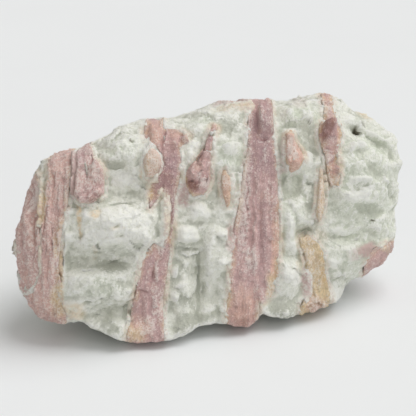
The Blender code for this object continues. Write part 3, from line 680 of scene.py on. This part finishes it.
class Finish:
    """A material, built up node by node round its Principled shader."""

    def __init__(self, name):
        self.material = bpy.data.materials.new(name)
        self.material.use_nodes = True
        self.tree = self.material.node_tree
        self.shader = self.tree.nodes["Principled BSDF"]

    def node(self, kind, settings=None, values=None, output=0):
        """Adds a node: its settings first, then its sockets' values or what is linked to them."""
        made = self.tree.nodes.new(kind)
        for name, setting in (settings or {}).items():
            setattr(made, name, setting)
        for name, value in (values or {}).items():
            self.feed(made.inputs[name], value)
        return Socket(self, made.outputs[output])

    def feed(self, entry, value):
        if isinstance(value, Socket):
            self.tree.links.new(value.output, entry)
        else:
            entry.default_value = value

    def surface(self, **values):
        """Sets or links the shader's own sockets, named with _ for a space."""
        for name, value in values.items():
            self.feed(self.shader.inputs[name.replace("_", " ")], value)

    def attribute(self, name):
        return self.node("ShaderNodeAttribute", dict(attribute_name=name), output="Fac")

    def place(self, size=(1, 1, 1), turned=(0, 0, 0)):
        """Object coordinates in cells of a size in mm along axes that are turned."""
        here = self.node("ShaderNodeTexCoord", output="Object")
        cell = tuple(length * MM for length in size)
        return self.node(
            "ShaderNodeMapping", dict(vector_type="TEXTURE"),
            {"Vector": here, "Rotation": turned, "Scale": cell})

    def cloud(self, place, size, detail=3.0, roughness=0.55):
        """Noise of about 0.5 +- 0.2 whose largest patches have a size in the place's cells."""
        return self.node(
            "ShaderNodeTexNoise", None,
            {"Vector": place, "Scale": 1 / size, "Detail": detail, "Roughness": roughness})

    def cells(self, place, size, output="Distance"):
        """How far it is to the middle of a cell of a size in the place's cells, or its own shade."""
        return self.node("ShaderNodeTexVoronoi", None, {"Vector": place, "Scale": 1 / size}, output)

    def mix(self, first, second, share):
        """From the first colour to the second by a share."""
        colours = [(*c, 1) if isinstance(c, tuple) else c for c in (first, second)]
        return self.node(
            "ShaderNodeMix", dict(data_type="RGBA"), {0: share, 6: colours[0], 7: colours[1]}, 2)

    def lit(self, colour, share):
        """A colour made brighter or darker by a share."""
        return self.node(
            "ShaderNodeVectorMath", dict(operation="SCALE"), {"Vector": colour, "Scale": share})

    def bump(self, height, depth, normal=None):
        """A normal from a height of 0 to 1 that stands for a depth in mm."""
        values = {"Height": height, "Distance": depth * MM}
        if normal:
            values["Normal"] = normal
        return self.node("ShaderNodeBump", None, values)


def albite_finish(colours):
    """White, sugary albite, greyer where glassy, stained beside the crystals; painted shade darkens its
    hollows, grooves and low parts, and painted light brightens its ledge tops.
    """
    albite = Finish("albite")
    place = albite.place()
    edge = albite.attribute("edge")
    hollow = albite.attribute("hollow")
    ledge = albite.attribute("ledge")
    wide = albite.cloud(place, size=9.0, detail=3)
    mottle = albite.cloud(place, size=2.4, detail=4, roughness=0.6)
    grain = albite.cloud(place, size=0.5, detail=3, roughness=0.7)
    crumb = albite.cells(place, size=0.45, output="Color")
    chunk = albite.cells(albite.place(turned=(0.5, 0.4, 0.3)), size=1.1)

    # The glassy stain is partly painted shade on the low parts and in recesses; with the hollows it
    # paints shade, and the ledges paint light on their tops and shade in the grooves.
    shaded = albite.attribute("glassy")
    glassy = wide * 1.0 + mottle * 0.9 + grain * 0.3 + hollow * 1.5 + shaded * 0.4 - ledge * 0.30
    colour = albite.mix(tuple(colours.albite), tuple(colours.albite_glassy_and_shade), glassy.step(1.00, 1.55))
    colour = albite.mix(
        colour, tuple(colours.albite_green), albite.attribute("green") * mottle * 1.7)
    # Painted light on ledge tops, and painted shade in grooves and on the glassy patches.
    colour = albite.lit(colour, 0.82 + grain * 0.25 + crumb * 0.15 + ledge * 0.08 - shaded * 0.06)
    # Fewer bright grains in hollows and on the glassy patches are painted shade; more on ledge tops and
    # the white patches are painted light.
    crushed = grain + mottle * 0.5 - hollow * 0.9 + crumb * 0.25 + ledge * 0.15
    crushed = (crushed + albite.attribute("white") * 0.25 - shaded * 0.15).step(0.86, 1.10)
    colour = albite.mix(colour, tuple(colours.albite_grain), crushed * 0.8)
    rim = (1 - (edge + mottle * 2.0 - 1.0).step(0.0, 1.6)) * (wide + grain * 0.3).step(0.55, 0.85)
    iron = rim * 0.45 + albite.attribute("ochre") * (mottle + grain * 0.4).step(0.5, 0.85)
    colour = albite.mix(colour, tuple(colours.ochre), iron)
    crumbs = (1 - edge.step(0.2, 1.5)) * (grain + crumb * 0.3 + wide * 0.4).step(0.82, 1.02) * 0.5
    blush = crumbs + albite.attribute("blush") * (mottle + grain).step(0.65, 1.10)
    colour = albite.mix(colour, tuple(colours.blush), blush)
    colour = albite.mix(colour, tuple(colours.shadow_spots), albite.attribute("shadow_spots"))

    relief = None
    for height, depth in ((mottle, 0.30), (chunk, -0.20), (grain, 0.28), (crumb, 0.08)):
        relief = albite.bump(height, depth, relief)
    albite.surface(
        Base_Color=colour, Roughness=0.70 - crushed * 0.25, Normal=relief,
        Subsurface_Weight=0.15, Subsurface_Radius=(1.0, 1.0, 0.8), Subsurface_Scale=0.7 * MM)
    return albite.material


def crystal_finish(name, colours, main, lean):
    """Ribbed tourmaline: streaked along its length, grained with white, iron-stained at its rims,
    with painted shade in its hollows and in part of its deep-pink stain.
    """
    crystal = Finish(name)
    turned = (FACE_TURNED @ Matrix.Rotation(math.radians(lean), 3, "Z")).to_euler()
    place = crystal.place()
    near = crystal.attribute("near")
    sugar = crystal.attribute("sugar")
    hollow = crystal.attribute("hollow")
    long_place = crystal.place((1.0, 14.0, 1.0), turned)
    fine_place = crystal.place((1.0, 9.0, 1.0), turned)
    streak = crystal.cloud(long_place, size=0.9, detail=4, roughness=0.6)
    fine = crystal.cloud(fine_place, size=0.3, detail=3, roughness=0.6)
    mottle = crystal.cloud(place, size=2.6, detail=4, roughness=0.6)
    grain = crystal.cloud(place, size=0.38, detail=3, roughness=0.75)
    crumb = crystal.cells(place, size=0.30, output="Color")

    # The deep-pink stain, partly painted shade.
    deep_pink_and_shade = crystal.attribute("deep_pink_and_shade")
    blotch = (mottle + streak * 0.5 + grain * 0.3).step(0.65, 1.05)
    colour = tuple(main)
    for stain in ("mauve", "peach", "straw", "deep_pink_and_shade"):
        strength = crystal.attribute(stain) * (0.5 + blotch * 0.6)
        colour = crystal.mix(colour, tuple(getattr(colours, stain)), strength)
    colour = crystal.mix(colour, tuple(colours.peach), (mottle - streak * 0.4).step(0.28, 0.55) * 0.4)
    shade = streak * 0.45 + fine * 0.35 + grain * 0.55 + mottle * 0.35 + crumb * 0.25
    colour = crystal.lit(colour, shade + 0.10)
    rim = near * (mottle + streak * 0.3 + grain * 0.3).step(0.62, 0.95)
    rim = rim * (0.85 - crystal.attribute("mauve") * 0.75)
    iron = rim + crystal.attribute("ochre") * (mottle + grain * 0.4).step(0.5, 0.85)
    colour = crystal.mix(colour, tuple(colours.ochre), iron)
    sugared = grain * 0.9 + crumb * 0.5 + fine * 0.35 + mottle * 0.35 + sugar * 0.36 + near * 0.10
    # Less white in hollows and deep-pink parts is painted shade; a little more on ridges is painted
    # light.
    white = (sugared - hollow * 0.9 - deep_pink_and_shade * 0.15).step(1.06, 1.46)
    colour = crystal.mix(colour, tuple(colours.sugar), white * 0.7)

    relief = None
    for height, depth in ((streak, 0.30), (fine, 0.20), (grain, 0.30), (crumb, 0.10)):
        relief = crystal.bump(height, depth, relief)
    crystal.surface(
        Base_Color=colour, Roughness=0.40 + white * 0.20 + mottle * 0.15, Normal=relief,
        Subsurface_Weight=0.10, Subsurface_Radius=(1.0, 0.7, 0.6), Subsurface_Scale=0.6 * MM)
    return crystal.material


# ---------------------------------------------------------------- places on the stone


def smooth(share):
    """0 up to 0, 1 from 1 on, and a smooth rise between them."""
    share = np.clip(share, 0, 1)
    return share * share * (3 - 2 * share)


def seen(places):
    """How far across and up the show face points look to the camera, and how far out, in mm."""
    across, up, out = ((places - FACE_MIDDLE) @ FACE_AXES).T
    nearer = VIEW_DISTANCE / (VIEW_DISTANCE - out)
    return across * nearer, up * nearer, out


def outward(places):
    """The way out of the stone at each point."""
    line = SPINE_END - SPINE_START
    share = np.clip((places - SPINE_START) @ line / (line @ line), 0, 1)
    way = places - (SPINE_START + share[:, None] * line)
    return way / np.maximum(np.linalg.norm(way, axis=1), 1e-6)[:, None]


def footed(places):
    """Points drawn in at the base of the show face, and jutting out a little above it."""
    height = places[:, 2]
    across, _, out = seen(places)
    gap = np.interp(across, FOOT_ACROSS, FOOT_GAPS)
    drawn_in = (1 - smooth(height / gap)) * FOOT_DRAWN_IN
    jutting = smooth(height / gap) * (1 - smooth((height - gap) / FOOT_JUT_HEIGHT))
    jutting *= FOOT_JUTS_OUT + cloud(places, FOOT_RAGGED_LENGTH) * FOOT_RAGGED
    front = smooth((out - FOOT_FADE_TO) / (FOOT_FADE_FROM - FOOT_FADE_TO))
    forward = np.array((math.sin(FACE_TURN), -math.cos(FACE_TURN), 0.0))
    return places + forward * ((jutting - drawn_in) * front)[:, None]


def cloud(places, size, layers=3):
    """Fractal noise of about -1 to 1 at points, whose largest swells have a size in mm."""
    return np.array([noise.fractal(place, 1.0, 2.0, layers) for place in (places / size).tolist()])


def blocks(places, size, draw):
    """The rise in mm of broken blocks of a size, each tilted its own way."""
    rises = []
    for place in (places / size).tolist():
        middle = noise.voronoi(place)[1][0]
        tilt = noise.cell_vector(middle * draw) - Vector((0.5, 0.5, 0.5))
        rises.append((Vector(place) - middle).dot(tilt))
    return np.array(rises) * size


def ribs(places, lean, width):
    """The rise, of about -1 to 1, of ribs of a width in mm along a crystal that leans."""
    across, up, out = ((places - FACE_MIDDLE) @ FACE_AXES).T
    across = across + math.tan(math.radians(lean)) * up
    return cloud(np.stack([across, up / RIB_LENGTH, out / RIB_DEPTH], 1), width)


def within(across, up, patch, softness):
    """How far points are within a patch, 0 to 1, and how far up it they are, -1 to 1."""
    middle_across, middle_up, half_width, half_height, lean = patch[:5]
    turned = math.radians(lean)
    over, above = across - middle_across, up - middle_up
    sideways = (over * math.cos(turned) + above * math.sin(turned)) / half_width
    upwards = (above * math.cos(turned) - over * math.sin(turned)) / half_height
    reach = np.cbrt(np.abs(sideways) ** 3 + np.abs(upwards) ** 3)
    return smooth((1 - reach) / softness), upwards


def wandered(places):
    """Where points are seen, moved about a little so that no form on the face is even."""
    across, up, out = seen(places)
    moved = [
        sum(cloud(places + shift, length) * reach for length, reach in WANDERS) for shift in (0, 50)]
    return across + moved[0], up + moved[1], smooth((out - FADE_TO) / (FADE_FROM - FADE_TO))


def ledges(across, up, front):
    """The rise of the show face's ledges, lumps and grooves, in mm."""
    rise = np.zeros(len(across))
    for patch in RELIEF:
        height, softness, tilt = patch[5:]
        height *= LUMPS if height > 0 else GROOVES
        share, upwards = within(across, up, patch, softness + SOFTER)
        rise += share * front * height * (1 + tilt * upwards)
    return rise


def stain(across, up, front, name):
    """The strength of one stain at points on the show face, 0 to 1."""
    strength = np.zeros(len(across))
    for patch in STAINS[name]:
        strength = np.maximum(strength, within(across, up, patch, STAIN_EDGE)[0] * patch[5] * front)
    return strength


# ---------------------------------------------------------------- meshes


def cad_copy(bm, node, swell=0.0):
    """Adds a CAD node's mesh to a bmesh, merged, and swollen by a length in metres."""
    piece = bmesh.new()
    piece.from_mesh(frame["nodes"][node].data)
    bmesh.ops.remove_doubles(piece, verts=piece.verts, dist=1e-7)
    piece.normal_update()
    for vert in piece.verts:
        vert.co += vert.normal * swell
    merged = bpy.data.meshes.new(node)
    piece.to_mesh(merged)
    piece.free()
    bm.from_mesh(merged)
    bpy.data.meshes.remove(merged)


def remade(name, bm, face, smoothing):
    """A new object: the bmesh remade in small even faces and smoothed."""
    mesh = bpy.data.meshes.new(name)
    bm.to_mesh(mesh)
    bm.free()
    made = bpy.data.objects.new(name, mesh)
    bpy.context.scene.collection.objects.link(made)
    remesh = made.modifiers.new("small faces", "REMESH")
    remesh.mode = "VOXEL"
    remesh.voxel_size = face
    rounding = made.modifiers.new("rounding", "SMOOTH")
    rounding.iterations = smoothing
    bpy.context.view_layer.update()
    evaluated = made.evaluated_get(bpy.context.evaluated_depsgraph_get())
    new_mesh = bpy.data.meshes.new_from_object(evaluated)
    made.modifiers.clear()
    made.data = new_mesh
    bpy.data.meshes.remove(mesh)
    new_mesh.name = name
    new_mesh.shade_smooth()
    return made


def read_places(mesh):
    """A mesh's vertices, in mm."""
    places = np.empty(len(mesh.vertices) * 3, np.float32)
    mesh.vertices.foreach_get("co", places)
    return places.reshape(-1, 3).astype(float) / MM


def write_places(mesh, places):
    """Gives a mesh's vertices their places in mm, none below the base."""
    places[:, 2] = np.maximum(places[:, 2], 0)
    mesh.vertices.foreach_set("co", (places * MM).astype(np.float32).ravel())
    mesh.update()


def normals_of(mesh):
    """The normals of a mesh's vertices."""
    ways = np.empty(len(mesh.vertices) * 3, np.float32)
    mesh.vertices.foreach_get("normal", ways)
    return ways.reshape(-1, 3).astype(float)


def write_attribute(mesh, name, values):
    """Keeps a value for each vertex, for the finish to read."""
    made = mesh.attributes.new(name, "FLOAT", "POINT")
    made.data.foreach_set("value", values.astype(np.float32))


def hollowness(mesh, rounds):
    """How deep each vertex lies below what is around it, in mm, negative on ridges."""
    edges = np.empty(len(mesh.edges) * 2, np.int32)
    mesh.edges.foreach_get("vertices", edges)
    one, other = edges.reshape(-1, 2).T
    count = np.bincount(edges, minlength=len(mesh.vertices))
    places = read_places(mesh)
    around = places.copy()
    for _ in range(rounds):
        total = np.stack([
            np.bincount(one, around[other, axis], len(count))
            + np.bincount(other, around[one, axis], len(count)) for axis in range(3)], axis=1)
        around = total / count[:, None]
    return np.einsum("ij,ij->i", around - places, normals_of(mesh))


def surface_of(nodes):
    """The CAD surfaces of some nodes, to measure distances to."""
    verts, faces = [], []
    for node in nodes:
        mesh = frame["nodes"][node].data
        start = len(verts)
        verts += [vert.co.copy() for vert in mesh.vertices]
        faces += [[start + number for number in face.vertices] for face in mesh.polygons]
    return BVHTree.FromPolygons(verts, faces)


def distances(places, nodes):
    """How far points lie from the nodes' CAD surfaces, in mm."""
    surface = surface_of(nodes)
    return np.array([surface.find_nearest(place)[3] for place in (places * MM).tolist()]) / MM


def seams(places, normals):
    """How near points of the show face are to two crystals that touch, 0 to 1, and the seam's rise
    and its reach over the crystals, in mm."""
    seam = np.zeros((3, len(places)))
    for pair, (height, width) in SEAMS.items():
        farther = np.maximum(*(distances(places, [node]) for node in pair))
        near = smooth((SEAM_REACH - farther) / SEAM_EDGE)
        seam = np.maximum(seam, [near, near * height, near * width])
    return seam * smooth(normals @ FACE_AXES[:, 2] / SEAM_FACING)


def finish_piece(made, material, node):
    """Gives a piece its finish, hides the CAD node it stands for, and hangs it on the body it rides on.
    """
    made.data.materials.clear()
    made.data.materials.append(material)
    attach(made, "root")
    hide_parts(node)


def make_albite(sizes, colours):
    """The albite with its ledges, broken blocks and grain, sunk out of sight below the crystals."""
    bm = bmesh.new()
    cad_copy(bm, "albite_matrix")
    for node in CRYSTALS:
        cad_copy(bm, node, CLOSE_GAP * MM)
    made = remade("albite", bm, sizes.albite_face, sizes.albite_smoothing)
    mesh = made.data

    places = read_places(mesh)
    across, up, front = wandered(places)
    edge = distances(places, CRYSTALS) - distances(places, ["albite_matrix"])
    seam, seam_rise, seam_width = seams(places, normals_of(mesh))
    crust = stain(across, up, front, "crust")
    wander = sum(cloud(places, length) for length in RAGGED_LENGTHS) * RAGGED
    wander *= 1 - stain(across, up, front, "bare")
    grown_over = np.maximum(crust * CRUST_REACH, seam_width)
    ragged = edge + np.maximum(wander, -DRAWN_BACK) + grown_over
    sunk = smooth((-ragged - OVERLAP) / SINK_EDGE) * SINK
    ledge = ledges(across, up, front)
    rise = ledge + cloud(places, SWELL) * sizes.swell_rise / MM
    rise += sum(blocks(places, *size) for size in ALBITE_BLOCKS) * sizes.block_rise
    rise += cloud(places, GRAIN_LENGTH, 2) * sizes.grain_rise / MM
    rise += np.maximum(crust, seam) * CRUST_RISE
    rooted = smooth(places[:, 2] / ABOVE_BASE)
    shifts = outward(places) * (rise * rooted)[:, None]
    beside = np.maximum(1 - smooth(np.abs(edge) / FILL_REACH), seam)
    filled = np.maximum(hollowness(mesh, FILL_ROUNDS), 0) * beside * FILL
    shifts += normals_of(mesh) * (seam_rise + filled - sunk)[:, None]
    write_places(mesh, footed(places + shifts))

    write_attribute(mesh, "edge", edge)
    # The ledges' rise and the hollows: the finish paints light on ledge tops and shade in grooves and
    # hollows.
    write_attribute(mesh, "ledge", np.clip(ledge, -1, 1))
    write_attribute(mesh, "hollow", hollowness(mesh, HOLLOW_ROUNDS))
    for name in ALBITE_STAINS:
        write_attribute(mesh, name, stain(across, up, front, name))
    finish_piece(made, albite_finish(colours), "albite_matrix")


def make_crystal(node, sizes, material):
    """One crystal: ribbed along its length, grained, and stained."""
    facts = CRYSTALS[node]
    bm = bmesh.new()
    cad_copy(bm, node, GROWN * MM)
    made = remade("grown_" + node, bm, sizes.crystal_face, sizes.crystal_smoothing)
    mesh = made.data

    places = read_places(mesh)
    across, up, front = wandered(places)
    near = distances(places, ["albite_matrix"])
    rise = ledges(across, up, front) + cloud(places, SWELL) * sizes.swell_rise / MM
    rise += blocks(places, *CRYSTAL_BLOCK) * facts.get("blocks", CRYSTAL_BLOCKS)
    rise += cloud(places, LUMP_LENGTH, 2) * CRYSTAL_LUMPS
    rise += ribs(places, facts["lean"], facts["rib"]) * facts["depth"]
    rise += cloud(places, CRYSTAL_GRAIN_LENGTH) * sizes.crystal_grain / MM
    rise += blocks(places, *CRYSTAL_CRUMB) * CRYSTAL_CRUMBS
    rise -= stain(across, up, front, "crust") * CRUST_SINK
    rooted = smooth(places[:, 2] / ABOVE_BASE)
    write_places(mesh, footed(places + outward(places) * (rise * rooted)[:, None]))

    write_attribute(mesh, "near", 1 - smooth((near - RIM) / RIM_FADE))
    # How hollow it is: the finish paints shade into its hollows.
    write_attribute(mesh, "hollow", np.maximum(hollowness(mesh, HOLLOW_ROUNDS), -CRYSTAL_RIDGE))
    for name in CRYSTAL_STAINS:
        strength = np.maximum(stain(across, up, front, name), facts.get(name, 0))
        write_attribute(mesh, name, strength)
    finish_piece(made, material, node)


def crystals_of(slot):
    """The CAD nodes that take their finish from a material slot of the record."""
    return [row["node"] for row in frame["record"]["subparts"] if row["material_slot"] == slot]


# ---------------------------------------------------------------- operators


class SPECIMEN_OT_albite(Operator):
    """Make the broken albite that the crystals stand in"""

    bl_idname = "specimen.albite"
    bl_label = "Albite"

    def execute(self, context):
        make_albite(context.scene.stone_sizes, context.scene.stone_colours)
        return {"FINISHED"}


class CrystalOperator:
    """What the operators for the kinds of crystal share."""

    def execute(self, context):
        sizes, colours = context.scene.stone_sizes, context.scene.stone_colours
        for node in crystals_of(self.slot):
            main = getattr(colours, self.main)
            material = crystal_finish(node, colours, main, CRYSTALS[node]["lean"])
            make_crystal(node, sizes, material)
        return {"FINISHED"}


class SPECIMEN_OT_rose_crystals(CrystalOperator, Operator):
    """Make the rose-coloured crystals"""

    bl_idname = "specimen.rose_crystals"
    bl_label = "Rose crystals"
    slot = "rubellite"
    main = "rose"


class SPECIMEN_OT_dark_crystals(CrystalOperator, Operator):
    """Make the darker crystals of the left end and of the back"""

    bl_idname = "specimen.dark_crystals"
    bl_label = "Dark crystals"
    slot = "dark_rubellite"
    main = "rose"


class SPECIMEN_OT_pale_crystals(CrystalOperator, Operator):
    """Make the pale, warm-coloured crystals"""

    bl_idname = "specimen.pale_crystals"
    bl_label = "Pale crystals"
    slot = "pale_rubellite"
    main = "peach"


class SPECIMEN_OT_stained_crystals(CrystalOperator, Operator):
    """Make the weathered, straw-coloured crystals"""

    bl_idname = "specimen.stained_crystals"
    bl_label = "Stained crystals"
    slot = "stained_tourmaline"
    main = "straw"


class SPECIMEN_OT_light_table(Operator):
    """Make the plain floor, the soft lights and the camera"""

    bl_idname = "specimen.light_table"
    bl_label = "Light table"

    def execute(self, context):
        look = context.scene.table_look
        make_floor(look)
        make_lights(context.scene, look)
        make_camera(context.scene, look)
        return {"FINISHED"}


def make_floor(look):
    """A plain round floor of pale paper."""
    bm = bmesh.new()
    bmesh.ops.create_circle(bm, cap_ends=True, segments=64, radius=look.floor_radius)
    mesh = bpy.data.meshes.new("floor")
    bm.to_mesh(mesh)
    bm.free()
    floor = bpy.data.objects.new("floor", mesh)
    bpy.context.scene.collection.objects.link(floor)
    paper = Finish("paper")
    fibre = paper.cloud(paper.place(), PAPER_CLOUD, 2)
    shaded = tuple(part * PAPER_SHADE for part in look.floor_colour)
    paper.surface(Base_Color=paper.mix(tuple(look.floor_colour), shaded, fibre), Roughness=0.7)
    mesh.materials.append(paper.material)


def make_lights(scene, look):
    """Light from all around, and two broad soft lights: one above, one beside the camera."""
    world = bpy.data.worlds.new("light tent")
    world.use_nodes = True
    sky = world.node_tree.nodes["Background"]
    sky.inputs["Color"].default_value = (*FILL_COLOUR, 1)
    sky.inputs["Strength"].default_value = look.fill
    scene.world = world
    for name, place, power in (
            ("top light", TOP_LIGHT, look.top_power), ("front light", FRONT_LIGHT, look.front_power)):
        lamp = bpy.data.lights.new(name, "SUN")
        lamp.angle = look.spread
        lamp.energy = power
        light = bpy.data.objects.new(name, lamp)
        light.location = place
        light.rotation_euler = light.location.to_track_quat("Z", "Y").to_euler()
        scene.collection.objects.link(light)


def make_camera(scene, look):
    """The camera, square on to the show face."""
    data = bpy.data.cameras.new("camera")
    data.lens = look.lens
    data.clip_start = 0.01
    camera = bpy.data.objects.new("camera", data)
    back = Vector(FACE_AXES[:, 2])
    camera.location = (Vector(FACE_MIDDLE) + back * VIEW_DISTANCE) * MM
    camera.rotation_euler = back.to_track_quat("Z", "Y").to_euler()
    scene.collection.objects.link(camera)
    scene.camera = camera
    scene.view_settings.view_transform = "Standard"


MAKERS = (
    SPECIMEN_OT_light_table,
    SPECIMEN_OT_albite,
    SPECIMEN_OT_rose_crystals,
    SPECIMEN_OT_dark_crystals,
    SPECIMEN_OT_pale_crystals,
    SPECIMEN_OT_stained_crystals,
)


class SPECIMEN_PT_panel(Panel):
    """Lists what can be made and what can be changed"""

    bl_idname = "SPECIMEN_PT_panel"
    bl_label = "Rubellite Specimen"
    bl_space_type = "VIEW_3D"
    bl_region_type = "UI"
    bl_category = "Specimen"

    def draw(self, context):
        layout = self.layout
        for group in (context.scene.stone_sizes, context.scene.stone_colours, context.scene.table_look):
            box = layout.box()
            for name in group.__annotations__:
                box.prop(group, name)
        for maker in MAKERS:
            layout.operator(maker.bl_idname)


GROUPS = {"stone_sizes": StoneSizes, "stone_colours": StoneColours, "table_look": TableLook}
CLASSES = (*GROUPS.values(), *MAKERS, SPECIMEN_PT_panel)


def register():
    for cls in CLASSES:
        bpy.utils.register_class(cls)
    for name, group in GROUPS.items():
        setattr(bpy.types.Scene, name, PointerProperty(type=group))


def unregister():
    for name in GROUPS:
        delattr(bpy.types.Scene, name)
    for cls in reversed(CLASSES):
        bpy.utils.unregister_class(cls)


def main():
    register()
    bpy.ops.specimen.light_table()
    bpy.ops.specimen.albite()
    bpy.ops.specimen.rose_crystals()
    bpy.ops.specimen.dark_crystals()
    bpy.ops.specimen.pale_crystals()
    bpy.ops.specimen.stained_crystals()
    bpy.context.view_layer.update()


if __name__ == "__main__":
    main()
